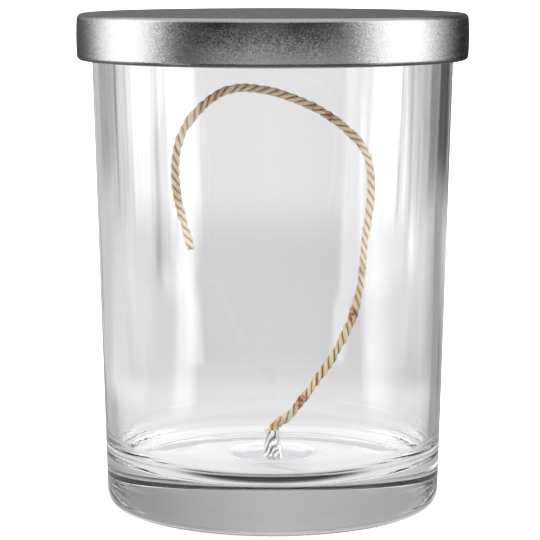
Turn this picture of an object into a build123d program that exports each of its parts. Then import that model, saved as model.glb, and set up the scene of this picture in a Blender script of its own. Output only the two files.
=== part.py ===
from build123d import *
import math
import os

# Empty container-candle jar: a heavy-based clear glass tumbler, a pressed steel lid with a
# soft sealing ring, and a long twisted wick crimped into a metal tab stuck to the glass floor.
# Frame: millimetres, +Z up, origin at the centre of the foot the jar stands on.

# --- driving dimensions -----------------------------------------------------------------
overall_height = 110.0      # foot to the top of the closed lid

foot_radius = 37.4          # outside of the wall, carried down to the foot plane
wall_flare = 0.027          # growth of the outside radius for each mm of height
inner_flare = 0.0305        # the plunger side flares a little more, so the wall thins upwards
rim_wall = 2.2              # wall thickness at the mouth
floor_height = 10.1         # inside floor above the foot, at the middle of the jar
floor_fillet = 7.0          # inside radius between floor and wall
base_corner = 2.6           # outside radius between wall and foot
bearing_width = 1.8         # ring of glass that touches the table
recess_depth = 0.6          # flat recess pressed into the underside
recess_slope = 1.3          # width of the recess's sloping edge

lid_radius = 43.5
lid_skirt = 10.2            # height of the lid's side
lid_sheet = 0.6             # steel thickness
lid_corner = 1.2            # outside radius round the top edge
hem_radius = 1.0            # outside radius of the inward roll at the lid's lower edge
hem_return = 1.4            # how far the rolled sheet climbs back up inside the skirt

gasket_web = 1.0            # flat of the sealing ring, between lid and rim
gasket_inner = 35.4         # inner radius of the flat
gasket_plug = 37.1          # outside of the collar that drops into the mouth
gasket_collar = 1.3         # thickness of that collar
gasket_reach = 5.2          # depth of the collar below the flat
gasket_lip = 0.5            # how far each sealing lip stands out of the collar
seat_gap = 0.1              # clearance between the ring's flat and the glass rim
ring_gap = 0.05             # clearance between the ring and the inside of the skirt

tab_setback = 3.0           # the tab was stuck down this far in front of the jar's axis
dot_radius = 5.5            # round adhesive sticker under the tab
dot_thickness = 0.3
tab_radius = 10.0
tab_flat_radius = 6.0       # the middle of the tab is flat, its outer part turns up
tab_thickness = 0.3
tab_dish = 1.0              # height of the turned-up rim
neck_height = 6.0           # crimped neck above the tab's flat
neck_root_radius = 2.3
neck_top_radius = 1.95
neck_root_fillet = 0.4
crimp_count = 5
crimp_radius = 0.45

wick_diameter = 2.0

# --- worked-out heights -----------------------------------------------------------------
gasket_under = overall_height - lid_sheet - gasket_web
rim_height = gasket_under - seat_gap
rim_outer = foot_radius + wall_flare * rim_height
mouth_radius = rim_outer - rim_wall
inner_foot = mouth_radius - inner_flare * rim_height
tab_bottom = floor_height + dot_thickness
tab_top = tab_bottom + tab_thickness
neck_top = tab_top + neck_height

# The wick's route from its cut end in the tab's neck, up the jar and over, to its free end.
wick_route = [
    (0.0, -3.0, 10.9),
    (0.1, -3.0, 14.1),
    (0.0, -3.0, 17.5),
    (3.5, -2.9, 19.3),
    (7.6, -2.6, 24.6),
    (12.6, -2.2, 31.4),
    (17.2, -1.6, 39.4),
    (19.9, -0.9, 48.6),
    (20.6, -0.2, 58.8),
    (22.4, 0.6, 69.2),
    (21.8, 1.6, 78.2),
    (16.3, 2.4, 84.8),
    (8.2, 2.8, 89.6),
    (-0.8, 2.6, 92.8),
    (-9.8, 1.9, 93.6),
    (-17.4, 0.8, 88.4),
    (-21.6, -0.4, 80.4),
    (-21.8, -1.4, 71.4),
    (-19.6, -2.1, 62.8),
    (-18.2, -2.4, 57.6),
]


def outer_at(height):
    """Outside radius of the glass wall at a height."""
    return foot_radius + wall_flare * height


def inner_at(height):
    """Inside radius of the glass wall at a height."""
    return inner_foot + inner_flare * height


def report(piece):
    """Write one piece and print its size."""
    export_step(piece, f"parts/{piece.label}.step")
    box = piece.bounding_box()
    print(f"{piece.label}: {piece.volume:.1f} mm3, z {box.min.Z:.2f} to {box.max.Z:.2f}")


os.makedirs("parts", exist_ok=True)

# --- glass jar ----------------------------------------------------------------------------
# One pressed and fire-polished tumbler: the profile is turned about the jar's axis. The mouth
# is a full round, the floor meets the wall in a wide inside radius, and the underside has a
# shallow flat recess so that only a ring of glass bears on the table.
bearing_outer = foot_radius - base_corner
recess_radius = bearing_outer - bearing_width
rim_round = rim_wall * 0.45
with BuildPart() as glass_jar:
    with BuildSketch(Plane.XZ) as jar_profile:
        with BuildLine():
            Polyline(
                (0, recess_depth),
                (recess_radius - recess_slope, recess_depth),
                (recess_radius, 0),
                (foot_radius, 0),
                (rim_outer, rim_height),
                (mouth_radius, rim_height),
                (inner_at(floor_height), floor_height),
                (0, floor_height),
                close=True,
            )
        make_face()
        rounds = [
            ((inner_at(floor_height), floor_height), floor_fillet),
            ((foot_radius, 0), base_corner),
            ((recess_radius - recess_slope, recess_depth), recess_slope),
            ((rim_outer, rim_height), rim_round),
            ((mouth_radius, rim_height), rim_round),
        ]
        for place, radius in rounds:
            fillet(jar_profile.vertices().sort_by_distance(place)[0], radius)
    revolve(axis=Axis.Z)
glass_jar.part.label = "glass_jar"
report(glass_jar.part)

# --- lid shell ----------------------------------------------------------------------------
# Pressed steel cap with a flat top, and its lower edge rolled inwards so no raw edge shows.
skirt_bottom = overall_height - lid_skirt
hem_centre = skirt_bottom + hem_radius
hem_inner = hem_radius - lid_sheet
with BuildPart() as lid_shell:
    with BuildSketch(Plane.XZ) as lid_profile:
        with BuildLine():
            top = Line((0, overall_height), (lid_radius - lid_corner, overall_height))
            corner = RadiusArc(top @ 1, (lid_radius, overall_height - lid_corner), lid_corner)
            side = Line(corner @ 1, (lid_radius, hem_centre))
            roll = RadiusArc(side @ 1, (lid_radius - 2 * hem_radius, hem_centre), hem_radius)
            climb = Line(roll @ 1, (lid_radius - 2 * hem_radius, hem_centre + hem_return))
            edge = Line(climb @ 1, (climb @ 1) + (lid_sheet, 0))
            drop = Line(edge @ 1, (lid_radius - 2 * hem_radius + lid_sheet, hem_centre))
            inner_roll = RadiusArc(drop @ 1, (lid_radius - lid_sheet, hem_centre), -hem_inner)
            rise = Line(inner_roll @ 1, (lid_radius - lid_sheet, overall_height - lid_corner))
            inner_corner = RadiusArc(
                rise @ 1,
                (lid_radius - lid_corner, overall_height - lid_sheet),
                -(lid_corner - lid_sheet),
            )
            under = Line(inner_corner @ 1, (0, overall_height - lid_sheet))
            centre = Line(under @ 1, (0, overall_height))
        make_face()
    revolve(axis=Axis.Z)
lid_shell.part.label = "lid_shell"
report(lid_shell.part)

# --- lid gasket ---------------------------------------------------------------------------
# Soft clear ring pressed into the lid: a flat that sits on the rim and a collar with two thin
# sealing lips that drops into the mouth.
web_top = overall_height - lid_sheet
collar_inner = gasket_plug - gasket_collar
lip_height = 0.8
lip_spacing = 2.0
lip_first = 1.2             # from the flat down to the first lip
with BuildPart() as lid_gasket:
    with BuildSketch(Plane.XZ) as web_profile:
        with BuildLine():
            Polyline(
                (gasket_inner, web_top),
                (lid_radius - lid_corner, web_top),
                (lid_radius - lid_sheet - ring_gap, gasket_under + gasket_web / 2),
                (lid_radius - lid_sheet - ring_gap, gasket_under),
                (gasket_plug, gasket_under),
                (gasket_plug, gasket_under - gasket_reach),
                (collar_inner, gasket_under - gasket_reach),
                (gasket_inner, gasket_under),
                close=True,
            )
        make_face()
    revolve(axis=Axis.Z)
    for turn in range(2):
        lip_top = gasket_under - lip_first - turn * lip_spacing
        with BuildSketch(Plane.XZ) as lip_profile:
            with BuildLine():
                Polyline(
                    (gasket_plug - 0.2, lip_top),
                    (gasket_plug, lip_top),
                    (gasket_plug + gasket_lip, lip_top - lip_height * 0.35),
                    (gasket_plug, lip_top - lip_height),
                    (gasket_plug - 0.2, lip_top - lip_height),
                    close=True,
                )
            make_face()
        revolve(axis=Axis.Z)
lid_gasket.part.label = "lid_gasket"
report(lid_gasket.part)

# --- adhesive dot -------------------------------------------------------------------------
# Round double-sided sticker that holds the tab to the glass floor.
with BuildPart() as adhesive_dot:
    with BuildSketch(Plane.XY.offset(floor_height)):
        with Locations((0, -tab_setback)):
            Circle(dot_radius)
    extrude(amount=dot_thickness)
adhesive_dot.part.label = "adhesive_dot"
report(adhesive_dot.part)

# --- wick sustainer -----------------------------------------------------------------------
# Thin tin-plated tab: a round foot whose outer part turns up, and a neck crimped onto the wick.
wick_bore = wick_diameter / 2
crimp_start = 1.0           # plain root of the neck below the crimped grooves
crimp_spacing = 0.3         # from the neck's top radius out to the middle of each groove
tab_axis = Axis((0, -tab_setback, 0), (0, 0, 1))
with BuildPart() as wick_sustainer:
    with BuildSketch(Plane.XZ.offset(tab_setback)) as tab_profile:
        with BuildLine():
            Polyline(
                (wick_bore, tab_bottom),
                (tab_flat_radius, tab_bottom),
                (tab_radius, tab_bottom + tab_dish),
                (tab_radius, tab_bottom + tab_dish + tab_thickness),
                (tab_flat_radius, tab_top),
                (neck_root_radius, tab_top),
                (neck_top_radius, neck_top),
                (wick_bore, neck_top),
                close=True,
            )
        make_face()
        neck_root = tab_profile.vertices().sort_by_distance((neck_root_radius, tab_top))
        fillet(neck_root[0], neck_root_fillet)
    revolve(axis=tab_axis)
    with BuildSketch(Plane((0, -tab_setback, tab_top + crimp_start))):
        with PolarLocations(neck_top_radius + crimp_spacing, crimp_count):
            Circle(crimp_radius)
    extrude(amount=neck_height, mode=Mode.SUBTRACT)
wick_sustainer.part.label = "wick_sustainer"
report(wick_sustainer.part)

# --- wick -----------------------------------------------------------------------------------
# Waxed cotton cord, stiff enough to hold its own curve: straight runs joined by tangent arcs.
# Each arc is as large as its two runs allow.
arc_share = 0.45            # part of the shorter run that an arc may take up
route = [Vector(*point) for point in wick_route]
wick_radii = []
for before, here, after in zip(route, route[1:], route[2:]):
    half_turn = math.radians((here - before).get_angle(after - here)) / 2
    shorter = min((here - before).length, (after - here).length)
    wick_radii.append(arc_share * shorter / math.tan(half_turn))
print("wick bend radii:", ", ".join(f"{radius:.1f}" for radius in wick_radii))

with BuildPart() as wick:
    with BuildLine() as wick_line:
        FilletPolyline(*wick_route, radius=wick_radii)
    with BuildSketch(Plane(origin=route[0], z_dir=route[1] - route[0])):
        Circle(wick_diameter / 2)
    sweep(path=wick_line.wires()[0])
wick_length = wick_line.wires()[0].length
tube_volume = math.pi * (wick_diameter / 2) ** 2 * wick_length
print(f"wick: {wick_length:.1f} mm long, {wick.part.volume:.2f} mm3, section x length {tube_volume:.2f}")
wick.part.label = "wick"
report(wick.part)
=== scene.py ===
# %% [markdown]
# # An empty candle jar
# The object is a heavy glass tumbler made for poured candles. A satin steel lid closes it, and a
# long bare wick stands in a curve inside, crimped into a metal tab that is stuck to the floor.
# The CAD model fixes every size and place. This lesson dresses it: glass that bends light as
# real glass does, steel with a blasted grain, a crumpled tin tab and a wick twisted from plies.

# %% Load the frame
import bmesh
import bpy
import math
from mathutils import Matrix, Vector, noise


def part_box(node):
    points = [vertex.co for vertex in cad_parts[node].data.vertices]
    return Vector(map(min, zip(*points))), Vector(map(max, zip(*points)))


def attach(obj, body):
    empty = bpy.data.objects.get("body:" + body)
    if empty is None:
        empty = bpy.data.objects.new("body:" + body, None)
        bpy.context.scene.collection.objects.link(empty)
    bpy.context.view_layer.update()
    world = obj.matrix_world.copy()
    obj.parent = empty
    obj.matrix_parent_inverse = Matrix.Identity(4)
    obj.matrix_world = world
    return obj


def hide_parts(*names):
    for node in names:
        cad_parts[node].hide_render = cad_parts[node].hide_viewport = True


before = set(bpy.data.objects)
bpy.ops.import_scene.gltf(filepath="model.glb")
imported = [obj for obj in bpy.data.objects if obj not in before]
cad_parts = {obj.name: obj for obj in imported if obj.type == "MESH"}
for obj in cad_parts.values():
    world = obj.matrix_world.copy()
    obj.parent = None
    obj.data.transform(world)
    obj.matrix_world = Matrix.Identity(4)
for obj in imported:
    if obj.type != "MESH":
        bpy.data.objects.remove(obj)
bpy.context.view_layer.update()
scene = bpy.context.scene
MM = 0.001

# %% [markdown]
# ## Camera
# A product photographer stands back and uses a long lens, so that the jar's sides stay straight.
# The eye is a little above the lid and looks down by eight degrees. That shows the lid's top as
# a thin ellipse, and the floor of the jar through its wall.

# %% Set the camera
EYE = Vector((-0.6, -512.7, 124.1)) * MM
EYE_PITCH = 7.96
FOCAL_LENGTH = 153.3

camera_data = bpy.data.cameras.new("jar_camera")
camera_data.lens = FOCAL_LENGTH
camera_data.sensor_width = 36.0
camera_data.clip_start = 0.02
camera_data.clip_end = 60.0
camera = bpy.data.objects.new("jar_camera", camera_data)
camera.location = EYE
camera.rotation_euler = (math.radians(90 - EYE_PITCH), 0, 0)
scene.collection.objects.link(camera)
scene.camera = camera
print("eye above the foot, mm:", round(EYE.z / MM, 1))

# %% [markdown]
# ## Helpers
# Materials and shape trees are both made of nodes, so one function adds a node with its settings
# and links. Colours are written as sRGB hex, as on a paint card, and one function turns them
# into the linear values that shaders work in.

# %% Colour and node helpers
def linear(hex_colour):
    """An sRGB hex colour as the linear RGBA that shaders take."""
    parts = [int(hex_colour[i:i + 2], 16) / 255 for i in (1, 3, 5)]
    return (*[c / 12.92 if c <= 0.04045 else ((c + 0.055) / 1.055) ** 2.4 for c in parts], 1.0)


def add_node(tree, kind, settings=None, **inputs):
    """Adds a node. settings are its own options; inputs are values, or sockets to link from.

    An input is named as on the node, with _ for a space, or _0, _1 and so on by its place.
    """
    node = tree.nodes.new(kind)
    for name, value in (settings or {}).items():
        setattr(node, name, value)
    for name, value in inputs.items():
        key = int(name[1:]) if name[0] == "_" and name[1:].isdigit() else name.replace("_", " ")
        socket = node.inputs[key]
        if isinstance(value, bpy.types.NodeSocket):
            tree.links.new(value, socket)
        else:
            socket.default_value = value
    return node


def maths(tree, operation, *values):
    """The result of one sum on numbers or sockets."""
    inputs = {f"_{place}": value for place, value in enumerate(values)}
    return add_node(tree, "ShaderNodeMath", {"operation": operation}, **inputs).outputs[0]


def vector_maths(tree, operation, *values, **inputs):
    """One sum on vectors, as a node: its answer is a vector, or a number called Value."""
    inputs.update({f"_{place}": value for place, value in enumerate(values)})
    return add_node(tree, "ShaderNodeVectorMath", {"operation": operation}, **inputs)


def mix_colour(tree, share, first, second):
    """Goes from the first colour to the second as share goes from 0 to 1."""
    mixed = add_node(tree, "ShaderNodeMix", {"data_type": "RGBA"}, _0=share, _6=first, _7=second)
    return mixed.outputs[2]


def attribute(tree, name):
    """Reads a number or vector that is stored on the mesh."""
    return add_node(tree, "ShaderNodeAttribute", {"attribute_name": name})


def new_material(name):
    """A material, its node tree and its main shader."""
    made = bpy.data.materials.new(name)
    made.use_nodes = True
    return made, made.node_tree, made.node_tree.nodes["Principled BSDF"]


def fill_ramp(ramp_node, stops):
    """Gives a colour ramp its stops, each (position from 0 to 1, brightness)."""
    elements = ramp_node.color_ramp.elements
    elements.remove(elements[1])
    elements[0].position = stops[0][0]
    for position, _ in stops[1:]:
        elements.new(position)
    for stop, (_, value) in zip(elements, stops):
        stop.color = (value, value, value, 1.0)


# %% [markdown]
# ## Running a shape tree
# Geometry Nodes describe a shape by a rule: turn this outline, lay that strand along a line.
# The tree is run once, its result is kept as a plain mesh, and the modifier goes, so that what
# is left is an ordinary piece that any program can read.

# %% Shape tree helpers
def open_tree(name, inputs):
    """A new shape tree with a geometry input, the named inputs and one geometry output."""
    tree = bpy.data.node_groups.new(name, "GeometryNodeTree")
    tree.interface.new_socket("Geometry", in_out="INPUT", socket_type="NodeSocketGeometry")
    for title, kind in inputs:
        tree.interface.new_socket(title, in_out="INPUT", socket_type="NodeSocket" + kind)
    tree.interface.new_socket("Geometry", in_out="OUTPUT", socket_type="NodeSocketGeometry")
    return tree, tree.nodes.new("NodeGroupInput").outputs


def close_tree(tree, geometry, finish):
    """Ends a tree: instances become real faces, and every face takes the finish."""
    real = add_node(tree, "GeometryNodeRealizeInstances", Geometry=geometry)
    smooth = add_node(tree, "GeometryNodeSetShadeSmooth", Geometry=real.outputs[0])
    painted = add_node(tree, "GeometryNodeSetMaterial", Geometry=smooth.outputs[0], Material=finish)
    out = tree.nodes.new("NodeGroupOutput")
    tree.links.new(painted.outputs[0], out.inputs[0])


def run_tree(name, start_mesh, tree, values):
    """Runs a shape tree on a mesh and returns the result as a plain mesh object."""
    piece = bpy.data.objects.new(name, start_mesh)
    scene.collection.objects.link(piece)
    modifier = piece.modifiers.new(name, "NODES")
    modifier.node_group = tree
    for item in tree.interface.items_tree:
        if item.in_out == "INPUT" and item.name in values:
            modifier[item.identifier] = values[item.name]
    piece.update_tag()
    evaluated = piece.evaluated_get(bpy.context.evaluated_depsgraph_get())
    result = bpy.data.meshes.new_from_object(evaluated)
    piece.modifiers.remove(modifier)
    piece.data = result
    result.name = name
    shell = bmesh.new()
    shell.from_mesh(result)
    open_edges = sum(1 for edge in shell.edges if not edge.is_manifold)
    volume = shell.calc_volume(signed=True) / MM ** 3
    shell.free()
    print(f"{name}: {len(result.polygons)} faces, {open_edges} open edges, {volume:.1f} mm3")
    return piece


def line_mesh(name, points, **attributes):
    """A mesh that is only a line through points, with one number a point for each attribute."""
    mesh = bpy.data.meshes.new(name)
    mesh.from_pydata([tuple(p) for p in points], [(i, i + 1) for i in range(len(points) - 1)], [])
    for title, values in attributes.items():
        mesh.attributes.new(title, "FLOAT", "POINT").data.foreach_set("value", values)
    return mesh


# %% [markdown]
# ## The wick's line
# A wick is a stiff little rope. This one was bent over by hand and keeps its curve: up out of the
# tab, out to the right, round the top and down to a cut end on the left. Its line is one smooth
# NURBS curve through the air, and the plies are laid along it later.

# %% Lay the wick's line
WICK_DIAMETER = 2.0
WICK_ROUTE = [
    (0.0, -3.0, 10.9),
    (0.1, -3.0, 14.1),
    (0.0, -3.0, 17.5),
    (3.5, -2.9, 19.3),
    (7.6, -2.6, 24.6),
    (12.6, -2.2, 31.4),
    (17.2, -1.6, 39.4),
    (19.9, -0.9, 48.6),
    (20.6, -0.2, 58.8),
    (22.4, 0.6, 69.2),
    (21.8, 1.6, 78.2),
    (16.3, 2.4, 84.8),
    (8.2, 2.8, 89.6),
    (-0.8, 2.6, 92.8),
    (-9.8, 1.9, 93.6),
    (-17.4, 0.8, 88.4),
    (-21.6, -0.4, 80.4),
    (-21.8, -1.4, 71.4),
    (-19.6, -2.1, 62.8),
    (-18.2, -2.4, 57.6),
]

wick_curve = bpy.data.curves.new("wick_line", "CURVE")
wick_curve.dimensions = "3D"
wick_curve.resolution_u = 24
spline = wick_curve.splines.new("NURBS")
spline.points.add(len(WICK_ROUTE) - 1)
for knot, place in zip(spline.points, WICK_ROUTE):
    knot.co = (*(Vector(place) * MM), 1.0)
spline.order_u = 3
spline.use_endpoint_u = True
wick_line = bpy.data.objects.new("wick_line", wick_curve)
scene.collection.objects.link(wick_line)
traced = bpy.data.meshes.new_from_object(wick_line)
wick_path = [v.co.copy() for v in traced.vertices]
bpy.data.objects.remove(wick_line)
wick_run = sum((b - a).length for a, b in zip(wick_path, wick_path[1:]))
print("wick line, mm:", round(wick_run / MM, 1), "through", len(wick_path), "points")

# %% [markdown]
# ## Studio
# Clear glass has no colour of its own, so a photographer paints it with the room. The backdrop
# is white to the eye. Around it stand tall white softboxes at both sides and dark cards between
# them, and the jar shows them as the bright and dark bands down its edges. Rough metal gathers
# light from a wide angle, so it gets a room of its own, with softer steps. Only rays that have
# crossed the empty middle of the jar meet the bright ceiling, because it drew a white strip in
# the base when every ray could see it.
# None of this is a real studio: the levels were set until the glass looked right.
# Bearings are degrees from the camera's side: 0 is towards the camera, 180 is the backdrop.

# %% Room seen by the glass and by the metal
ROOM_PEAK = 3.0
# (bearing, brightness) round the horizon, as the glass sees it at eye level
GLASS_ROOM = [
    (-180, 0.90), (-177.1, 0.88), (-176.8, 1.12), (-171.6, 1.06), (-171.2, 0.66), (-167.6, 0.60),
    (-167.2, 0.08), (-166, 0.08), (-165.6, 0.70), (-128, 0.12), (-112, 1.50),
    (-102, 2.60), (-77, 2.60), (-75, 0.60), (-71, 0.60), (-69, 2.60), (-53, 2.60), (-51, 0.14),
    (60, 0.30), (63, 2.80), (88, 2.80), (90, 0.30), (150, 0.08), (166, 0.12), (166.5, 0.50),
    (172.3, 0.50), (172.6, 1.12), (175, 1.12), (175.3, 0.68), (176.7, 0.66), (177.1, 0.88), (180, 0.90),
]
# narrow gaps and gleams between the light boxes, as a share of the light behind the jar
ROOM_GAPS = [
    (-180, 1.00), (-174.8, 1.00), (-174.6, 0.62), (-174.1, 0.62), (-173.9, 1.00), (-165, 1.00),
    (165, 1.00), (169.2, 1.00), (169.6, 1.60), (170.3, 1.60), (170.7, 1.00), (177.6, 1.00),
    (178.0, 0.95), (178.5, 1.00), (180, 1.00),
]
# the room lower down, where the glass sees the bands mirrored in the table
TABLE_ROOM = [
    (-180, 0.72), (-164, 0.72), (-158, 0.60), (-136, 0.60), (-124, 0.90), (-104, 1.30),
    (-88, 1.30), (-80, 0.50), (-64, 0.50), (-61, 2.60), (-50, 2.60), (-48, 0.20),
    (-24, 0.34), (20, 0.34), (36, 0.16), (57, 0.20), (60, 2.60), (67, 2.60), (84, 0.60),
    (110, 0.90), (128, 0.35), (150, 0.35), (164, 0.72), (180, 0.72),
]
METAL_ROOM = [
    (-180, 0.20), (-150, 0.20), (-132, 0.50), (-118, 1.20), (-104, 1.90), (-84, 1.90),
    (-72, 1.20), (-62, 0.30), (-48, 0.03), (-26, 0.04), (-8, 0.16), (14, 0.06), (34, 0.07),
    (46, 0.25), (58, 1.20), (70, 1.90), (96, 1.90), (108, 0.90), (124, 0.25), (140, 0.05),
    (172, 0.10), (180, 0.20),
]
# Heights of a ray's direction, as the sine of its angle, where one part of the room gives way
# to the next: bands to the table's bands, bands to even grey, grey to ceiling.
LOOK_DOWN = (-0.105, -0.135)
EVEN_GREY = (0.05, 0.15)
CEILING_EDGE = (0.27, 0.45)
CROSSED_DEPTH = (2.4, 2.6)
CEILING = 0.48
SIDE_FALL = -0.25
SIDE_SLANT = -0.08
# The metal's room: where a fill light starts at the front, how it and the rear fade with height.
METAL_FRONT = (-0.55, -0.90)
METAL_FILL = (0.02, -0.16, -0.03, 0.50)
METAL_REAR = (0.4, 0.8)
METAL_DIM = (-0.02, 0.08, 0.35, 1.0)
METAL_CEILING = (0.40, 0.85)
OVERHEAD = 1.40
METAL_TOP = 0.75
MATT_LIGHT = 2.2
INNER_LIGHT = 0.95
WHITE = (0.985, 0.985, 1.0, 1.0)

scene.view_settings.view_transform = "Standard"
scene.view_settings.look = "None"
scene.cycles.max_bounces = 24
scene.cycles.transmission_bounces = 20
scene.cycles.glossy_bounces = 10


def bearing_of(tree, direction):
    """The bearing of a direction or place, as 0 to 1 once round from -180 to 180 degrees."""
    away = maths(tree, "MULTIPLY", direction.outputs["Y"], -1.0)
    bearing = maths(tree, "ARCTAN2", direction.outputs["X"], away)
    return add_node(tree, "ShaderNodeMapRange", Value=bearing,
                    From_Min=-math.pi, From_Max=math.pi).outputs[0]


def bearing_ramp(tree, bearing, stops):
    """A ramp round the horizon, from (bearing in degrees, brightness) stops."""
    ramp = add_node(tree, "ShaderNodeValToRGB", Fac=bearing)
    fill_ramp(ramp, [((degrees + 180) / 360, bright / ROOM_PEAK) for degrees, bright in stops])
    return maths(tree, "MULTIPLY", ramp.outputs["Color"], ROOM_PEAK)


def between(tree, value, start, end, low=0.0, high=1.0):
    """Eases from low to high while a value goes from start to end."""
    return add_node(tree, "ShaderNodeMapRange", {"interpolation_type": "SMOOTHSTEP"}, Value=value,
                    From_Min=start, From_Max=end, To_Min=low, To_Max=high).outputs[0]


def blend(tree, share, first, second):
    """Mixes two numbers by a share."""
    return add_node(tree, "ShaderNodeMix", {"data_type": "FLOAT"}, _0=share, _2=first, _3=second).outputs[0]


def rough_reflection(tree, ray):
    """1 for a ray that comes off satin metal, 0 for one that comes off or through clear glass."""
    blurred = maths(tree, "SUBTRACT", 1.0, ray.outputs["Is Singular Ray"])
    return maths(tree, "MULTIPLY", ray.outputs["Is Glossy Ray"], blurred)


def crossed_jar(tree, ray):
    """1 for a ray that has crossed the empty middle of the jar, so it met glass more than twice."""
    return between(tree, ray.outputs["Transmission Depth"], *CROSSED_DEPTH)


def matt_ray(tree, ray):
    """1 for a ray that left a matt surface, 0 for any other."""
    return maths(tree, "MINIMUM", ray.outputs["Diffuse Depth"], 1.0)


def build_room():
    """The world: white to the camera, a painted room to everything that reflects or refracts."""
    world = bpy.data.worlds.new("studio_room")
    world.use_nodes = True
    tree = world.node_tree
    tree.nodes.clear()
    way = add_node(tree, "ShaderNodeSeparateXYZ",
                   Vector=add_node(tree, "ShaderNodeTexCoord").outputs["Generated"])
    bearing = bearing_of(tree, way)
    rise = way.outputs["Z"]
    # The glass sees the bands at eye level, an even grey above them and a bright ceiling.
    open_bands = blend(tree, between(tree, rise, *LOOK_DOWN),
                       bearing_ramp(tree, bearing, GLASS_ROOM), bearing_ramp(tree, bearing, TABLE_ROOM))
    bands = maths(tree, "MULTIPLY", open_bands, bearing_ramp(tree, bearing, ROOM_GAPS))
    spread = maths(tree, "ABSOLUTE", way.outputs["X"])
    slant = maths(tree, "MULTIPLY_ADD", way.outputs["X"], SIDE_SLANT, CEILING)
    side = maths(tree, "MULTIPLY_ADD", spread, SIDE_FALL, slant)
    ray = add_node(tree, "ShaderNodeLightPath")
    crossed = crossed_jar(tree, ray)
    low = blend(tree, between(tree, rise, *EVEN_GREY), bands, blend(tree, crossed, side, INNER_LIGHT))
    top = blend(tree, crossed, side, OVERHEAD)
    glass_light = blend(tree, between(tree, rise, *CEILING_EDGE), low, top)
    # The metal sees softer bands, darker towards the top and lighter towards the table.
    front = between(tree, way.outputs["Y"], *METAL_FRONT)
    fill = maths(tree, "MULTIPLY", front, between(tree, rise, *METAL_FILL))
    metal = maths(tree, "ADD", bearing_ramp(tree, bearing, METAL_ROOM), fill)
    rear = between(tree, way.outputs["Y"], *METAL_REAR)
    dimmed = blend(tree, rear, 1.0, between(tree, rise, *METAL_DIM))
    banded = maths(tree, "MULTIPLY", metal, dimmed)
    metal_light = blend(tree, between(tree, rise, *METAL_CEILING), banded, METAL_TOP)
    light = blend(tree, rough_reflection(tree, ray), glass_light, metal_light)
    # Cotton and foam are lit by lamps above, which the clear glass doesn't show.
    matt_boosted = blend(tree, matt_ray(tree, ray), light, MATT_LIGHT)
    shown = blend(tree, ray.outputs["Is Camera Ray"], matt_boosted, 1.0)
    tint = mix_colour(tree, ray.outputs["Is Camera Ray"], WHITE, (1.0, 1.0, 1.0, 1.0))
    room = add_node(tree, "ShaderNodeBackground", Color=tint, Strength=shown)
    add_node(tree, "ShaderNodeOutputWorld", Surface=room.outputs[0])
    return world


scene.world = build_room()
print("room stops:", len(GLASS_ROOM), len(TABLE_ROOM), len(METAL_ROOM))

# %% [markdown]
# ## Table
# The jar stands on white board. Looking straight at the board it is plain pale white. Through the
# glass it glows instead with painted light, as board lit from behind would look: a painted pool of
# light brightest near the middle of the board behind the jar, and a painted shadow just under the
# front of the foot, where the heavy base keeps light out.

# %% Build the table
BOARD_LIT = 0.55
# Painted pool of light under the foot: its brightness from back to front, where it changes and where it
# ends.
UNDER_FOOT = (1.05, 0.78)
FOOT_MIDDLE = (0.012, -0.012)
FOOT_EDGE = (0.037, 0.042)
# (bearing, brightness) of the board's painted glow just round the foot, seen through the solid base
BESIDE_FOOT = [
    (-180, 0.68), (-150, 0.54), (-120, 0.46), (0, 0.60), (120, 0.34), (150, 0.42), (180, 0.68),
]
BESIDE_CROSSED = 0.82
BAND_START = (0.12, 0.16)
TABLE_RADIUS = 0.45
TABLE_FADE = (0.30, 0.42)
# Painted shadow on the board under the front of the foot: where it starts, how far it reaches, how dark.
FOOT_SHADE = (-0.022, -0.031)
FOOT_REACH = (0.037, 0.036)
SHADE_LEVEL = 0.02
METAL_SHARE = 0.25


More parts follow.
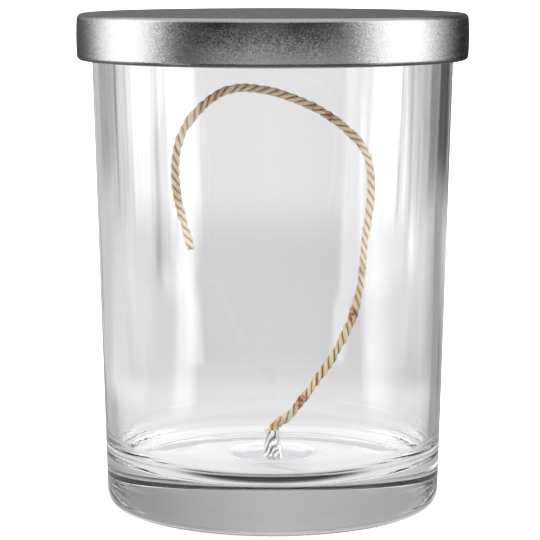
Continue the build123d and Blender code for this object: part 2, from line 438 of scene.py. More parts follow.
def board_material():
    """White board: matt white to the camera; to rays that come by the glass it glows with a painted pool of
    light and a painted shadow under the foot.
    """
    made = bpy.data.materials.new("white_board")
    made.use_nodes = True
    tree = made.node_tree
    tree.nodes.clear()
    ray = add_node(tree, "ShaderNodeLightPath")
    matt = add_node(tree, "ShaderNodeBsdfDiffuse", Color=(0.8, 0.8, 0.8, 1.0))
    lit = add_node(tree, "ShaderNodeEmission", Color=(1.0, 1.0, 1.0, 1.0), Strength=BOARD_LIT)
    direct = add_node(tree, "ShaderNodeAddShader", _0=matt.outputs[0], _1=lit.outputs[0])
    coords = add_node(tree, "ShaderNodeTexCoord").outputs["Object"]
    place = add_node(tree, "ShaderNodeSeparateXYZ", Vector=coords)
    reach = vector_maths(tree, "LENGTH", coords).outputs["Value"]
    bearing = bearing_of(tree, place)
    crossed = crossed_jar(tree, ray)
    around = blend(tree, crossed, bearing_ramp(tree, bearing, BESIDE_FOOT), BESIDE_CROSSED)
    # Painted pool of light under and round the foot.
    under = between(tree, place.outputs["Y"], *FOOT_MIDDLE, *UNDER_FOOT)
    beside = blend(tree, between(tree, reach, *FOOT_EDGE), under, around)
    # Farther out, the board carries a painted reflection of the room's bands.
    level = blend(tree, between(tree, reach, *BAND_START), beside, bearing_ramp(tree, bearing, TABLE_ROOM))
    # Painted shadow under the front of the foot, darkening the glow.
    in_front = between(tree, place.outputs["Y"], *FOOT_SHADE)
    shade = maths(tree, "MULTIPLY", in_front, between(tree, reach, *FOOT_REACH))
    shaded = blend(tree, shade, level, SHADE_LEVEL)
    matt_boosted = maths(tree, "MULTIPLY", shaded, blend(tree, matt_ray(tree, ray), 1.0, MATT_LIGHT))
    seen = maths(tree, "MULTIPLY", matt_boosted, blend(tree, rough_reflection(tree, ray), 1.0, METAL_SHARE))
    # The painted pool of light and the painted shadow are given off by the board as a glow.
    painted_glow = add_node(tree, "ShaderNodeEmission", Color=WHITE, Strength=seen)
    clear = add_node(tree, "ShaderNodeBsdfTransparent")
    faded = add_node(tree, "ShaderNodeMixShader", _0=between(tree, reach, *TABLE_FADE),
                     _1=painted_glow.outputs[0], _2=clear.outputs[0])
    both = add_node(tree, "ShaderNodeMixShader", _0=ray.outputs["Is Camera Ray"],
                    _1=faded.outputs[0], _2=direct.outputs[0])
    below = add_node(tree, "ShaderNodeNewGeometry").outputs["Backfacing"]
    sided = add_node(tree, "ShaderNodeMixShader", _0=below, _1=both.outputs[0], _2=clear.outputs[0])
    add_node(tree, "ShaderNodeOutputMaterial", Surface=sided.outputs[0])
    return made


def round_board(name, radius, height, sides):
    """A flat round board at a height, as part of the studio."""
    turns = [2 * math.pi * i / sides for i in range(sides)]
    mesh = bpy.data.meshes.new(name)
    mesh.from_pydata([(radius * math.cos(a), radius * math.sin(a), height) for a in turns],
                     [], [tuple(range(sides))])
    board = bpy.data.objects.new(name, mesh)
    scene.collection.objects.link(board)
    board.data.materials.append(white_board)
    return board


white_board = board_material()
studio_floor = round_board("studio_floor", 9.0, -0.0002, 64)
studio_floor.visible_glossy = False
studio_floor.visible_transmission = False
round_board("studio_table", TABLE_RADIUS, 0.0, 128)

# %% [markdown]
# ## Turning an outline
# Jar, lid, sealing ring and sticker are all round. A potter's rule makes them: draw half the
# outline and turn it about the jar's axis. The tree lays out a grid, gives each column one point
# of the outline, turns each row a little further, and welds the last row to the first.
# Real glass is never perfectly round, so the tree can also let the wall wander by a few
# hundredths of a millimetre. That is what makes the faint upright streaks in pressed glass.

# %% The turning tree
def build_turning_tree():
    """Turns the outline in the XZ plane about Z. The attribute give is where it may wander."""
    tree, given = open_tree("turned_shell", [
        ("Sides", "Int"), ("Wander", "Float"), ("Streaks", "Float"), ("Finish", "Material")])
    outline = given["Geometry"]
    count = add_node(tree, "GeometryNodeAttributeDomainSize", Geometry=outline)
    rows = maths(tree, "ADD", given["Sides"], 1.0)
    grid = add_node(tree, "GeometryNodeMeshGrid", Vertices_X=count.outputs["Point Count"],
                    Vertices_Y=rows)
    index = add_node(tree, "GeometryNodeInputIndex")
    row = maths(tree, "MODULO", index.outputs[0], rows)
    step = maths(tree, "SUBTRACT", index.outputs[0], row)
    column = maths(tree, "DIVIDE", step, rows)
    nearest = maths(tree, "ROUND", column)
    place = add_node(tree, "GeometryNodeSampleIndex", {"data_type": "FLOAT_VECTOR"}, Geometry=outline,
                     Value=add_node(tree, "GeometryNodeInputPosition").outputs[0], Index=nearest)
    named = add_node(tree, "GeometryNodeInputNamedAttribute", {"data_type": "FLOAT"}, Name="give")
    give = add_node(tree, "GeometryNodeSampleIndex", {"data_type": "FLOAT"}, Geometry=outline,
                    Value=named.outputs["Attribute"], Index=nearest)
    share = maths(tree, "DIVIDE", row, given["Sides"])
    angle = maths(tree, "MULTIPLY", share, 2 * math.pi)
    turned = add_node(tree, "ShaderNodeVectorRotate", {"rotation_type": "Z_AXIS"},
                      Vector=place.outputs[0], Angle=angle)
    stretch = vector_maths(tree, "MULTIPLY", turned.outputs[0], (1.0, 1.0, 0.05))
    ripple = add_node(tree, "ShaderNodeTexNoise", Vector=stretch.outputs[0], Scale=given["Streaks"],
                      Detail=2.0)
    swing = maths(tree, "SUBTRACT", ripple.outputs[0], 0.5)
    amount = maths(tree, "MULTIPLY", swing, given["Wander"])
    eased = maths(tree, "MULTIPLY", amount, give.outputs[0])
    flat = vector_maths(tree, "MULTIPLY", turned.outputs[0], (1.0, 1.0, 0.0))
    outward = vector_maths(tree, "NORMALIZE", flat.outputs[0])
    push = vector_maths(tree, "SCALE", outward.outputs[0], Scale=eased)
    placed = add_node(tree, "GeometryNodeSetPosition", Geometry=grid.outputs["Mesh"],
                      Position=turned.outputs[0], Offset=push.outputs[0])
    welded = add_node(tree, "GeometryNodeMergeByDistance", Geometry=placed.outputs[0], Distance=0.001 * MM)
    outwards = add_node(tree, "GeometryNodeFlipFaces", Mesh=welded.outputs[0])
    close_tree(tree, outwards.outputs[0], given["Finish"])
    return tree


turning_tree = build_turning_tree()


def turn(name, outline, sides, finish, wander=0.0, streaks=1.0, give=None):
    """Turns an outline of (radius, height) points in mm into a closed shell about Z."""
    points = [Vector((radius, 0, height)) * MM for radius, height in outline]
    start = line_mesh(name + "_outline", points, give=give or [0.0] * len(points))
    return run_tree(name, start, turning_tree, {
        "Sides": sides, "Wander": wander * MM, "Streaks": streaks, "Finish": finish})


def arc(centre, radius, start, end, steps):
    """Points on a round of an outline, from one angle to another in degrees."""
    angles = [math.radians(start + (end - start) * i / steps) for i in range(steps + 1)]
    return [(centre[0] + radius * math.cos(a), centre[1] + radius * math.sin(a)) for a in angles]


# %% [markdown]
# ## Glass
# Soda-lime glass, pressed and then fire polished, so its skin is smooth and its edges are soft.
# It is almost colourless. Its index of refraction is 1.52, and that alone gives the eye the thick
# bright base and the dark lines where light is turned back inside. The only texture is a trace
# of draw lines that run up the wall.

# %% Glass material
def glass_material():
    made, tree, shader = new_material("fire_polished_soda_lime_glass")
    shader.inputs["Base Color"].default_value = linear("#FEFEFE")
    shader.inputs["Transmission Weight"].default_value = 1.0
    shader.inputs["Roughness"].default_value = 0.0
    shader.inputs["IOR"].default_value = 1.52
    coords = add_node(tree, "ShaderNodeTexCoord").outputs["Object"]
    upright = add_node(tree, "ShaderNodeMapping", Vector=coords, Scale=(1.0, 1.0, 0.02))
    lines = add_node(tree, "ShaderNodeTexNoise", Vector=upright.outputs[0],
                     Scale=1 / (2.5 * MM), Detail=2.0)
    relief = add_node(tree, "ShaderNodeBump", Height=lines.outputs[0], Strength=0.14, Distance=0.1 * MM)
    tree.links.new(relief.outputs[0], shader.inputs["Normal"])
    return made


clear_glass = glass_material()

# %% [markdown]
# ## The jar
# The wall flares a little towards the mouth, as a pressed piece must to leave its mould. Inside,
# the floor sweeps up into the wall in a wide round. Underneath, a shallow recess leaves a narrow
# ring to stand on. Each flat ends in a point set close beside its round: without those support
# points the smooth shading would spread round the corner and bend the light wrongly.

# %% Turn the jar
RIM_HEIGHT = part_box("glass_jar")[1].z / MM
RIM_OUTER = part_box("glass_jar")[1].x / MM
WALL_FLARE = 0.027
INNER_FLARE = 0.0305
RIM_WALL = 2.2
RIM_ROUND = 0.99
FLOOR_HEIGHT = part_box("adhesive_dot")[0].z / MM
FLOOR_ROUND = 7.0
BASE_CORNER = 2.6
BEARING_WIDTH = 1.8
RECESS_DEPTH = 0.6
SUPPORT = 0.05


def wall_outside(height):
    return RIM_OUTER - WALL_FLARE * (RIM_HEIGHT - height)


def wall_inside(height):
    return RIM_OUTER - RIM_WALL - INNER_FLARE * (RIM_HEIGHT - height)


def levels(start, end, count):
    """Evenly spaced heights or radii between two values, both ends included."""
    return [start + (end - start) * i / (count - 1) for i in range(count)]


def jar_outline():
    """Half the jar's section: recess, ring, outer wall, rim, inner wall, floor."""
    bearing_outer = wall_outside(0) - BASE_CORNER
    recess = bearing_outer - BEARING_WIDTH
    corner_turn = arc((bearing_outer, BASE_CORNER), BASE_CORNER, -90, -2, 9)
    round_start = FLOOR_HEIGHT + FLOOR_ROUND
    floor_edge = wall_inside(round_start) - FLOOR_ROUND
    points = [(r, RECESS_DEPTH) for r in levels(0, recess - 1.5, 6)]
    points += [(recess - 1.45, RECESS_DEPTH), (recess - 1.0, 0.53), (recess - 0.6, 0.34),
               (recess - 0.25, 0.13), (recess, 0.0), (recess + SUPPORT, 0.0)]
    points += [(bearing_outer - SUPPORT, 0.0)] + corner_turn
    points += [(wall_outside(z), z) for z in [BASE_CORNER + 0.1] + levels(6, RIM_HEIGHT - 2, 14)]
    lip = RIM_HEIGHT - RIM_ROUND
    points += arc((wall_outside(lip) - RIM_ROUND, lip), RIM_ROUND, 0, 90, 6)
    points += arc((wall_inside(lip) + RIM_ROUND, lip), RIM_ROUND, 90, 180, 6)
    points += [(wall_inside(z), z) for z in levels(RIM_HEIGHT - 2, round_start + SUPPORT, 14)]
    points += arc((floor_edge, round_start), FLOOR_ROUND, 0, -90, 16)
    points += [(r, FLOOR_HEIGHT) for r in levels(floor_edge - SUPPORT, 0, 12)]
    return points


def wall_give(outline):
    """1 on the tall walls and 0 at the foot, floor and rim, so only the walls wander."""
    rise = [(z - FLOOR_HEIGHT - 4) / 12 for _, z in outline]
    drop = [(RIM_HEIGHT - z - 1) / 4 for _, z in outline]
    return [max(0.0, min(1.0, a, b)) for a, b in zip(rise, drop)]


jar_points = jar_outline()
glass_body = turn("glass_body", jar_points, 256, clear_glass,
                  wander=0.10, streaks=1 / (6 * MM), give=wall_give(jar_points))
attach(glass_body, "jar")
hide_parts("glass_jar")

# %% [markdown]
# ## Satin steel
# The lid is stainless steel sheet, pressed and then blasted with fine glass beads. That leaves
# shallow dents about a fifth of a millimetre across, which spread a reflection and give the
# dark parts a sparkling grain. Handling has rubbed it sideways in places.

# %% Steel material
FACET_LEAN = 0.085


def steel_material():
    made, tree, shader = new_material("bead_blasted_stainless_steel")
    shader.inputs["Base Color"].default_value = linear("#C9C8C8")
    shader.inputs["Metallic"].default_value = 1.0
    coords = add_node(tree, "ShaderNodeTexCoord").outputs["Object"]
    facets = add_node(tree, "ShaderNodeTexVoronoi", Vector=coords, Scale=1 / (0.22 * MM))
    turned = vector_maths(tree, "SUBTRACT", facets.outputs["Color"], (0.5, 0.5, 0.5))
    leaned = vector_maths(tree, "SCALE", turned.outputs[0], Scale=FACET_LEAN)
    surface = add_node(tree, "ShaderNodeNewGeometry").outputs["Normal"]
    faced = vector_maths(tree, "ADD", surface, leaned.outputs[0])
    level = vector_maths(tree, "NORMALIZE", faced.outputs[0])
    sideways = add_node(tree, "ShaderNodeMapping", Vector=coords, Scale=(0.12, 0.12, 1.0))
    rub_and_highlight = add_node(tree, "ShaderNodeTexNoise", Vector=sideways.outputs[0], Scale=1 / (0.8 * MM),
                      Detail=2.0)
    patches = add_node(tree, "ShaderNodeTexNoise", Vector=coords, Scale=1 / (14 * MM), Detail=2.0)
    strength = add_node(tree, "ShaderNodeMapRange", Value=patches.outputs[0], From_Min=0.35, From_Max=0.65,
                        To_Min=0.45, To_Max=1.0)
    relief = add_node(tree, "ShaderNodeBump", Height=rub_and_highlight.outputs[0], Strength=strength.outputs[0],
                      Distance=0.02 * MM, Normal=level.outputs[0])
    polish = add_node(tree, "ShaderNodeMapRange", Value=rub_and_highlight.outputs[0], To_Min=0.16, To_Max=0.28)
    tree.links.new(polish.outputs[0], shader.inputs["Roughness"])
    tree.links.new(relief.outputs[0], shader.inputs["Normal"])
    return made


satin_steel = steel_material()

# %% [markdown]
# ## The lid
# A shallow pressed cap whose lower edge is rolled inwards, so no raw edge shows. Its side bows
# out by a tenth of a millimetre, as pressed sheet does, and that bow is why the reflection in it
# darkens from bottom to top.

# %% Turn the lid
LID_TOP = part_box("lid_shell")[1].z / MM
LID_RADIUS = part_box("lid_shell")[1].x / MM
LID_SKIRT = LID_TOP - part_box("lid_shell")[0].z / MM
LID_SHEET = 0.6
LID_CORNER = 1.2
HEM_RADIUS = 1.0
HEM_RETURN = 1.4
SKIRT_BOW = 0.12


def lid_outline():
    """Half the lid's section: top, corner, side, rolled hem, and back up the inside."""
    hem = LID_TOP - LID_SKIRT + HEM_RADIUS
    side_top = LID_TOP - LID_CORNER
    hem_centre = LID_RADIUS - SKIRT_BOW - HEM_RADIUS
    outer = LID_RADIUS - SKIRT_BOW
    side = []
    for share in levels(1, 0, 12):
        bow = SKIRT_BOW * (1 - (2 * share - 1) ** 2)
        side.append((outer + bow, hem + (side_top - hem) * share))
    inner_hem = HEM_RADIUS - LID_SHEET
    points = [(r, LID_TOP) for r in levels(0, outer - LID_CORNER - SUPPORT, 8)]
    points += arc((outer - LID_CORNER, side_top), LID_CORNER, 90, 0, 8)
    points += side[1:-1]
    points += arc((hem_centre, hem), HEM_RADIUS, 0, -180, 14)
    points += [(hem_centre - HEM_RADIUS, hem + HEM_RETURN), (hem_centre - inner_hem, hem + HEM_RETURN)]
    points += arc((hem_centre, hem), inner_hem, -180, 0, 8)
    points += [(outer - LID_SHEET, z) for z in levels(hem + 0.3, side_top, 4)]
    points += arc((outer - LID_CORNER, side_top), LID_CORNER - LID_SHEET, 0, 90, 4)[1:]
    points += [(r, LID_TOP - LID_SHEET) for r in levels(outer - LID_CORNER - SUPPORT, 0, 8)]
    return points[::-1]


lid_cap = turn("lid_cap", lid_outline(), 240, satin_steel)
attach(lid_cap, "lid")
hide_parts("lid_shell")

# %% [markdown]
# ## The sealing ring
# Inside the lid sits a soft ring of translucent silicone: a flat web that rests on the rim, and a
# collar that drops into the mouth with two thin lips to grip it. It shows only when the lid is
# lifted. Its outline has every corner slightly rounded, as moulded rubber does.

# %% Silicone material and ring
def silicone_material():
    made, tree, shader = new_material("moulded_silicone")
    shader.inputs["IOR"].default_value = 1.41
    shader.inputs["Transmission Weight"].default_value = 0.35
    coords = add_node(tree, "ShaderNodeTexCoord").outputs["Object"]
    cloud = add_node(tree, "ShaderNodeTexNoise", Vector=coords, Scale=1 / (9 * MM), Detail=3.0)
    tone = mix_colour(tree, cloud.outputs[0], linear("#E3E6E5"), linear("#D2D6D6"))
    dust = add_node(tree, "ShaderNodeTexNoise", Vector=coords, Scale=1 / (0.3 * MM), Detail=2.0)
    matt = add_node(tree, "ShaderNodeMapRange", Value=dust.outputs[0], To_Min=0.35, To_Max=0.60)
    relief = add_node(tree, "ShaderNodeBump", Height=dust.outputs[0], Strength=0.2, Distance=0.02 * MM)
    tree.links.new(tone, shader.inputs["Base Color"])
    tree.links.new(matt.outputs[0], shader.inputs["Roughness"])
    tree.links.new(relief.outputs[0], shader.inputs["Normal"])
    return made


RING_WEB = 1.0
RING_INNER = 35.4
RING_PLUG = 37.1
RING_COLLAR = 1.3
RING_REACH = 5.2
RING_LIP = 0.5
RING_LIP_DROPS = (1.2, 3.2)


def soften(outline, radius, steps=3):
    """Rounds every corner of a closed outline by about radius."""
    points = []
    for before, here, after in zip(outline[-1:] + outline[:-1], outline, outline[1:] + outline[:1]):
        corner, back, on = Vector(here), Vector(before), Vector(after)
        cut = min(radius, 0.4 * (back - corner).length, 0.4 * (on - corner).length)
        start = corner + (back - corner).normalized() * cut
        end = corner + (on - corner).normalized() * cut
        for share in levels(0, 1, steps + 1):
            bend = start.lerp(corner, share).lerp(corner.lerp(end, share), share)
            points.append(tuple(bend))
    return points + points[:1]


def ring_outline():
    """Section of the sealing ring, lips included."""
    web_top = LID_TOP - LID_SHEET
    web_under = web_top - RING_WEB
    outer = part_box("lid_gasket")[1].x / MM
    points = [(RING_INNER, web_top), (RING_PLUG - RING_COLLAR, web_under - RING_REACH)]
    points.insert(1, (RING_INNER, web_under))
    points += [(RING_PLUG, web_under - RING_REACH)]
    for drop in reversed(RING_LIP_DROPS):
        points += [(RING_PLUG, web_under - drop - 0.8), (RING_PLUG + RING_LIP, web_under - drop - 0.28),
                   (RING_PLUG, web_under - drop)]
    points += [(RING_PLUG, web_under), (outer, web_under), (outer, web_under + RING_WEB / 2),
               (LID_RADIUS - LID_CORNER, web_top)]
    return soften(points, 0.12)


seal_ring = turn("seal_ring", ring_outline(), 192, silicone_material())
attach(seal_ring, "lid")
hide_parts("lid_gasket")

# %% [markdown]
# ## The sticker
# A small round of double-sided foam holds the tab to the glass. It is seen from below, through
# the base, as a pale disc with the open cells of foam at its cut edge.

# %% Foam material and sticker
def foam_material():
    made, tree, shader = new_material("polyethylene_foam")
    shader.inputs["Roughness"].default_value = 0.8
    coords = add_node(tree, "ShaderNodeTexCoord").outputs["Object"]
    cells = add_node(tree, "ShaderNodeTexVoronoi", Vector=coords, Scale=1 / (0.35 * MM))
    tone = mix_colour(tree, cells.outputs["Distance"], linear("#F1F0EA"), linear("#D6D4CA"))
    relief = add_node(tree, "ShaderNodeBump", Height=cells.outputs["Distance"], Strength=0.5,
                      Distance=0.08 * MM)
    tree.links.new(tone, shader.inputs["Base Color"])
    tree.links.new(relief.outputs[0], shader.inputs["Normal"])
    return made


def shift(piece, offset):
    """Moves a piece's own points, so that its object stays at the origin."""
    for vertex in piece.data.vertices:
        vertex.co += offset


DOT_LOW, DOT_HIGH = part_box("adhesive_dot")
TAB_AXIS = Vector(((DOT_LOW.x + DOT_HIGH.x) / 2, (DOT_LOW.y + DOT_HIGH.y) / 2, 0))
dot_radius = (DOT_HIGH.x - DOT_LOW.x) / 2 / MM
dot_base, dot_top = DOT_LOW.z / MM, DOT_HIGH.z / MM
dot_middle = (dot_base + dot_top) / 2
dot_points = [(0, dot_base), (dot_radius - 0.1, dot_base), (dot_radius, dot_base + 0.05),
              (dot_radius - 0.08, dot_middle), (dot_radius, dot_top - 0.05), (dot_radius - 0.1, dot_top),
              (0, dot_top)]
foam_dot = turn("foam_dot", dot_points, 96, foam_material())
shift(foam_dot, TAB_AXIS)
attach(foam_dot, "jar")
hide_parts("adhesive_dot")

# %% [markdown]
# ## Tin plate
# The tab is steel sheet a third of a millimetre thick with a bright coat of tin. Tin is nearly a
# mirror, with a faint bloom and shallow dents from the press, so it shows the room in broken
# pieces. The bottoms of the folds carry painted shade and the rim and neck a painted highlight,
# from two numbers stored on the mesh, because folds this small don't shade strongly enough by themselves.

# %% Tin material
def tin_material():
    made, tree, shader = new_material("bright_tin_plate")
    shader.inputs["Metallic"].default_value = 1.0
    coords = add_node(tree, "ShaderNodeTexCoord").outputs["Object"]
    bloom = add_node(tree, "ShaderNodeTexNoise", Vector=coords, Scale=1 / (1.6 * MM), Detail=3.0)
    tone = mix_colour(tree, bloom.outputs[0], linear("#ECECEE"), linear("#D0D0D3"))
    polish = add_node(tree, "ShaderNodeMapRange", Value=bloom.outputs[0], To_Min=0.06, To_Max=0.20)
    dents = add_node(tree, "ShaderNodeTexNoise", Vector=coords, Scale=1 / (2.4 * MM), Detail=1.0)
    relief = add_node(tree, "ShaderNodeBump", Height=dents.outputs[0], Strength=0.5, Distance=0.15 * MM)
    fold_shade = attribute(tree, "fold_shade")
    rub_and_highlight = attribute(tree, "rub_and_highlight")
    # Painted highlight: the rim and the neck are lightened towards white.
    bright = mix_colour(tree, rub_and_highlight.outputs["Fac"], tone, linear("#FAFAFA"))
    # Painted shade: the bottoms of the folds are darkened to near black.
    fold_shaded = mix_colour(tree, fold_shade.outputs["Fac"], bright, linear("#0A0A0B"))
    tree.links.new(fold_shaded, shader.inputs["Base Color"])
    tree.links.new(polish.outputs[0], shader.inputs["Roughness"])
    tree.links.new(relief.outputs[0], shader.inputs["Normal"])
    return made


# %% [markdown]
# ## The wick tab
# A round tab whose outer part turns up like a saucer, with a neck in the middle. A machine squeezes
# the neck round the wick, and the thin metal crumples into sharp upright folds that lean over
# where they meet the saucer. The tab is first turned plain and then its points are pushed, the
# way a sculptor would press folds into soft foil.

# %% Turn and crumple the tab
TAB_LOW, TAB_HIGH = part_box("wick_sustainer")
TAB_RADIUS = (TAB_HIGH.x - TAB_LOW.x) / 2 / MM
TAB_BOTTOM = TAB_LOW.z / MM
TAB_SHEET = 0.3
TAB_FLAT = 6.0
TAB_DISH = 1.0
NECK_TOP = TAB_HIGH.z / MM
NECK_FOLDS = 8
NECK_WAIST = 1.7
NECK_BORE = 1.0
NECK_REACH = 3.2
CREASE_WIDTH = 0.90
# Radius where the painted highlight on the saucer's rim begins.
RIM_SHINE = 8.7


def saucer_height(radius):
    """How far the saucer has risen at a radius."""
    share = max(0.0, (radius - TAB_FLAT) / (TAB_RADIUS - TAB_FLAT))
    return TAB_DISH * share ** 1.5


def tab_outline():
    """Section of the tab: underside, rolled rim, top, neck, lip and bore."""
    top = TAB_BOTTOM + TAB_SHEET
    rim = TAB_RADIUS - TAB_SHEET / 2
    rim_centre = (rim, TAB_BOTTOM + saucer_height(rim) + TAB_SHEET / 2)
    points = [(NECK_BORE, TAB_BOTTOM)]
    points += [(r, TAB_BOTTOM + saucer_height(r)) for r in levels(NECK_BORE + 0.3, rim - 0.1, 24)]
    points += arc(rim_centre, TAB_SHEET / 2, -90, 90, 6)
    points += [(r, top + saucer_height(r)) for r in levels(rim - 0.1, 2.8, 22)]
    points += [(2.5, top + 0.05), (2.3, top + 0.15), (2.1, top + 0.35)]
    for share in levels(0, 1, 34):
        radius = NECK_WAIST + 0.35 * (1 - share) ** 2 + 0.1 * share ** 3
        points.append((radius, top + 0.6 + (NECK_TOP - top - 0.7) * share))
    points += [(NECK_WAIST + 0.05, NECK_TOP), (NECK_BORE + 0.35, NECK_TOP)]
    points += [(NECK_BORE + 0.1, NECK_TOP - 0.2)]
    points += [(NECK_BORE, z) for z in levels(NECK_TOP - 0.6, TAB_BOTTOM, 6)]
    return points


def fold(angle, height, seed):
    """A crease pattern between -1 and 1 with sharp ridges, leaning as it goes down."""
    lean = 1.1 * max(0.0, 0.55 - height) - 0.25 * height
    drift = 0.9 * noise.noise(Vector((math.cos(angle), math.sin(angle), 1.5 * height + seed)))
    phase = NECK_FOLDS * angle / (2 * math.pi) + lean * NECK_FOLDS / 3 + drift
    return 4 * abs(phase % 1.0 - 0.5) - 1


def crumple(piece):
    """Presses folds into the neck and lets the saucer wave a little."""
    top = TAB_BOTTOM + TAB_SHEET
    fold_shades = []
    painted_highlights = []
    for vertex in piece.data.vertices:
        x, y, z = (c / MM for c in vertex.co)
        radius, angle = math.hypot(x, y), math.atan2(y, x)
        height = (z - top) / (NECK_TOP - top)
        fold_shade = 0.0
        if radius > NECK_BORE + 0.2 and radius < NECK_REACH and height > 0.01:
            edge = fold(angle, height, 3.0)
            # Painted shade: how deep in a fold the point lies.
            fold_shade = max(0.0, 1 - (edge + 1) / CREASE_WIDTH)
            waist = 1 - 0.75 * math.exp(-((height - 0.52) / 0.10) ** 2)
            depth = min(1.0, height * 5) * waist * (0.42 - 0.12 * height)
            pushed = radius + depth * edge - 0.5 * depth
            lifted = z + 0.25 * max(0.0, height - 0.8) * 5 * fold(angle, 1.0, 3.0) - 0.1 * height
            pushed = max(pushed, NECK_BORE + 0.12)
            lifted = min(lifted, NECK_TOP)
            vertex.co = Vector((pushed * math.cos(angle), pushed * math.sin(angle), lifted)) * MM
        elif radius >= NECK_REACH:
            wave = noise.noise(Vector((1.3 * math.cos(angle), 1.3 * math.sin(angle), 7.0)))
            vertex.co.z += 0.22 * wave * (radius - NECK_REACH) / TAB_RADIUS * MM
        fold_shades.append(min(1.0, fold_shade))
        # Painted highlight on the neck and on the rolled rim of the saucer.
        painted_highlights.append(max(1.0 if radius < 2.3 else 0.0, min(1.0, (radius - RIM_SHINE) / 0.5)))
    # Stores the painted shade in the folds and the painted highlight on the rim and neck.
    for name, values in (("fold_shade", fold_shades), ("rub_and_highlight", painted_highlights)):
        layer = piece.data.attributes.new(name, "FLOAT", "POINT")
        layer.data.foreach_set("value", values)


tin_plate = tin_material()
wick_tab = turn("wick_tab", tab_outline(), 168, tin_plate)
crumple(wick_tab)
shift(wick_tab, TAB_AXIS)
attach(wick_tab, "jar")
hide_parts("wick_sustainer")

# %% [markdown]
# ## Waxed cotton
# Unbleached cotton yarn, cream, with painted shade in brown where the plies meet and a few
# scorched specks. Fine fibres run along each ply, so the pattern follows the strand: it
# reads how far along the wick a point is, and on which side of its own ply it lies.

# %% Cotton material
def cotton_material():
    made, tree, shader = new_material("waxed_cotton_yarn")
    shader.inputs["Roughness"].default_value = 0.75
    shader.inputs["Sheen Weight"].default_value = 0.25
    along = attribute(tree, "along")
    around = attribute(tree, "around")
    reach = attribute(tree, "reach")
    stain = attribute(tree, "stain")
    split = add_node(tree, "ShaderNodeSeparateXYZ", Vector=around.outputs["Vector"])
    run = maths(tree, "MULTIPLY", along.outputs["Fac"], 1 / (1.6 * MM))
    strand = add_node(tree, "ShaderNodeCombineXYZ", X=split.outputs["X"], Y=split.outputs["Y"],
                      Z=run)
    fibres = add_node(tree, "ShaderNodeTexNoise", Vector=strand.outputs[0], Scale=5.0, Detail=3.0)
    run_soft = maths(tree, "MULTIPLY", along.outputs["Fac"], 1 / (9 * MM))
    blotch = add_node(tree, "ShaderNodeTexNoise", {"noise_dimensions": "1D"}, W=run_soft, Scale=1.0,
                      Detail=2.0)
    # How far out of the grooves a point lies, for the painted shade between the plies.
    depth = add_node(tree, "ShaderNodeMapRange", {"interpolation_type": "SMOOTHSTEP"},
                     Value=reach.outputs["Fac"], From_Min=0.68 * MM, From_Max=0.98 * MM)
    cream = mix_colour(tree, fibres.outputs[0], linear("#E4C594"), linear("#FFF5D8"))
    warm = add_node(tree, "ShaderNodeMapRange", Value=blotch.outputs[0], From_Min=0.50, From_Max=0.75,
                    To_Max=0.45)
    toned = mix_colour(tree, warm.outputs[0], cream, linear("#DDB06A"))
    # Painted shade: the grooves between the plies are darkened to brown.
    groove_shaded = mix_colour(tree, depth.outputs[0], linear("#9A6E3A"), toned)
    scorched = mix_colour(tree, stain.outputs["Fac"], groove_shaded, linear("#A04A14"))
    relief = add_node(tree, "ShaderNodeBump", Height=fibres.outputs[0], Strength=0.6, Distance=0.08 * MM)
    tree.links.new(scorched, shader.inputs["Base Color"])
    tree.links.new(relief.outputs[0], shader.inputs["Normal"])
    return made


# %% [markdown]
# ## Twisting the wick
# Three plies are laid round each other with a left-hand twist, one full turn in six and a half
# millimetres. The tree copies the line once for each ply, swings each copy round the line by its
# share of a turn, and sweeps a small circle along it. Just above the tab, wax has puffed the
# plies up a little.

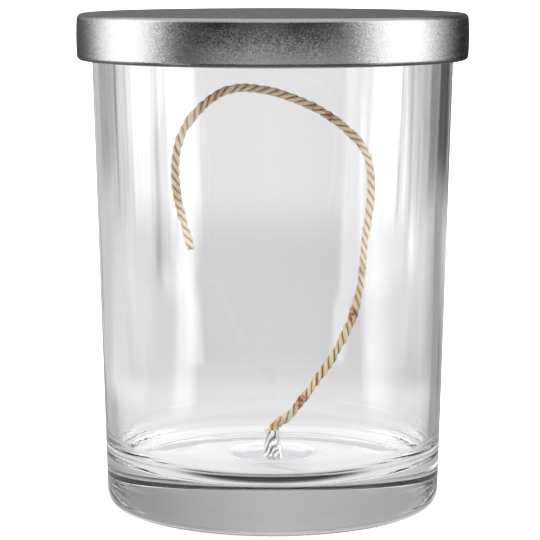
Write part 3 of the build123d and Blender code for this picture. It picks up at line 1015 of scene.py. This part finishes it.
# %% The twisting tree
def build_twisting_tree():
    """Lays plies round a line. It leaves the attributes along, around and reach for the cotton."""
    tree, given = open_tree("twisted_plies", [
        ("Plies", "Int"), ("Ply radius", "Float"), ("Ply offset", "Float"), ("Lay", "Float"),
        ("Step", "Float"), ("Sides", "Int"), ("Swell", "Float"), ("Swell place", "Float"),
        ("Swell spread", "Float"), ("Finish", "Material")])
    line = add_node(tree, "GeometryNodeMeshToCurve", Mesh=given["Geometry"])
    even = add_node(tree, "GeometryNodeResampleCurve", {"mode": "LENGTH"}, Curve=line.outputs[0],
                    Length=given["Step"])
    core = add_node(tree, "GeometryNodeStoreNamedAttribute", {"data_type": "FLOAT_VECTOR"},
                    Geometry=even.outputs[0], Name="core",
                    Value=add_node(tree, "GeometryNodeInputPosition").outputs[0])
    run = add_node(tree, "GeometryNodeSplineParameter").outputs["Length"]
    measured = add_node(tree, "GeometryNodeStoreNamedAttribute", {"data_type": "FLOAT"},
                        Geometry=core.outputs[0], Name="along", Value=run)
    copies = add_node(tree, "GeometryNodeDuplicateElements", {"domain": "SPLINE"},
                      Geometry=measured.outputs[0], Amount=given["Plies"])
    turns = maths(tree, "DIVIDE", run, given["Lay"])
    share = maths(tree, "DIVIDE", copies.outputs["Duplicate Index"], given["Plies"])
    place = maths(tree, "ADD", turns, share)
    angle = maths(tree, "MULTIPLY", place, 2 * math.pi)
    swung = add_node(tree, "ShaderNodeVectorRotate", {"rotation_type": "AXIS_ANGLE"},
                     Vector=add_node(tree, "GeometryNodeInputNormal").outputs[0],
                     Axis=add_node(tree, "GeometryNodeInputTangent").outputs[0], Angle=angle)
    # A bell-shaped swelling where wax has puffed the plies up: 1 + swell * exp(-(distance / spread)^2).
    past = maths(tree, "SUBTRACT", run, given["Swell place"])
    spread = maths(tree, "DIVIDE", past, given["Swell spread"])
    squared = maths(tree, "MULTIPLY", spread, spread)
    fading = maths(tree, "MULTIPLY", squared, -1.0)
    bell = maths(tree, "EXPONENT", fading)
    fuller = maths(tree, "MULTIPLY_ADD", bell, given["Swell"], 1.0)
    offset = maths(tree, "MULTIPLY", given["Ply offset"], fuller)
    arm = vector_maths(tree, "SCALE", swung.outputs[0], Scale=offset)
    puffed = add_node(tree, "GeometryNodeSetCurveRadius", Curve=copies.outputs["Geometry"],
                      Radius=fuller)
    laid = add_node(tree, "GeometryNodeSetPosition", Geometry=puffed.outputs[0],
                    Offset=arm.outputs[0])
    section = add_node(tree, "GeometryNodeCurvePrimitiveCircle", Resolution=given["Sides"],
                       Radius=given["Ply radius"])
    facing = vector_maths(tree, "NORMALIZE", add_node(tree, "GeometryNodeInputPosition").outputs[0])
    marked = add_node(tree, "GeometryNodeStoreNamedAttribute", {"data_type": "FLOAT_VECTOR"},
                      Geometry=section.outputs[0], Name="around", Value=facing.outputs[0])
    swept = add_node(tree, "GeometryNodeCurveToMesh", Curve=laid.outputs[0],
                     Profile_Curve=marked.outputs[0], Fill_Caps=True)
    middle = add_node(tree, "GeometryNodeInputNamedAttribute", {"data_type": "FLOAT_VECTOR"}, Name="core")
    gap = vector_maths(tree, "DISTANCE", add_node(tree, "GeometryNodeInputPosition").outputs[0],
                       middle.outputs["Attribute"])
    reached = add_node(tree, "GeometryNodeStoreNamedAttribute", {"data_type": "FLOAT"},
                       Geometry=swept.outputs[0], Name="reach", Value=gap.outputs["Value"])
    close_tree(tree, reached.outputs[0], given["Finish"])
    return tree


PLIES = 3
PLY_RADIUS = 0.53
LAY = -6.6
WAX_SWELL = 0.28
WAX_PLACE = 8.0
WAX_SPREAD = 1.7
STAINS = [(7.6, 1.6, 0.8), (14.8, 1.6, 1.2), (37.6, 1.3, 1.2), (48.0, 1.0, 0.6), (86.0, 1.4, 1.1),
          (90.5, 1.0, 0.9), (113.0, 2.0, 0.6)]

twisting_tree = build_twisting_tree()
wick_cord = run_tree("wick_cord", line_mesh("wick_trace", wick_path), twisting_tree, {
    "Plies": PLIES, "Ply radius": PLY_RADIUS * MM, "Ply offset": (WICK_DIAMETER / 2 - PLY_RADIUS) * MM,
    "Lay": LAY * MM, "Step": 0.22 * MM, "Sides": 14, "Swell": WAX_SWELL,
    "Swell place": WAX_PLACE * MM, "Swell spread": WAX_SPREAD * MM, "Finish": cotton_material()})


def mark_stains(piece):
    """Gives each point of the wick how strongly it is scorched, from the list of specks."""
    along = piece.data.attributes["along"].data
    strength = []
    for vertex, run in zip(piece.data.vertices, along):
        spot = 0.0
        for centre, spread, depth in STAINS:
            patch = 0.6 + 0.8 * noise.noise(vertex.co / (0.7 * MM))
            spot = max(spot, depth * patch * math.exp(-((run.value / MM - centre) / spread) ** 2))
        strength.append(max(0.0, min(1.0, spot)))
    piece.data.attributes.new("stain", "FLOAT", "POINT").data.foreach_set("value", strength)


mark_stains(wick_cord)
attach(wick_cord, "jar")
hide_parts("wick")
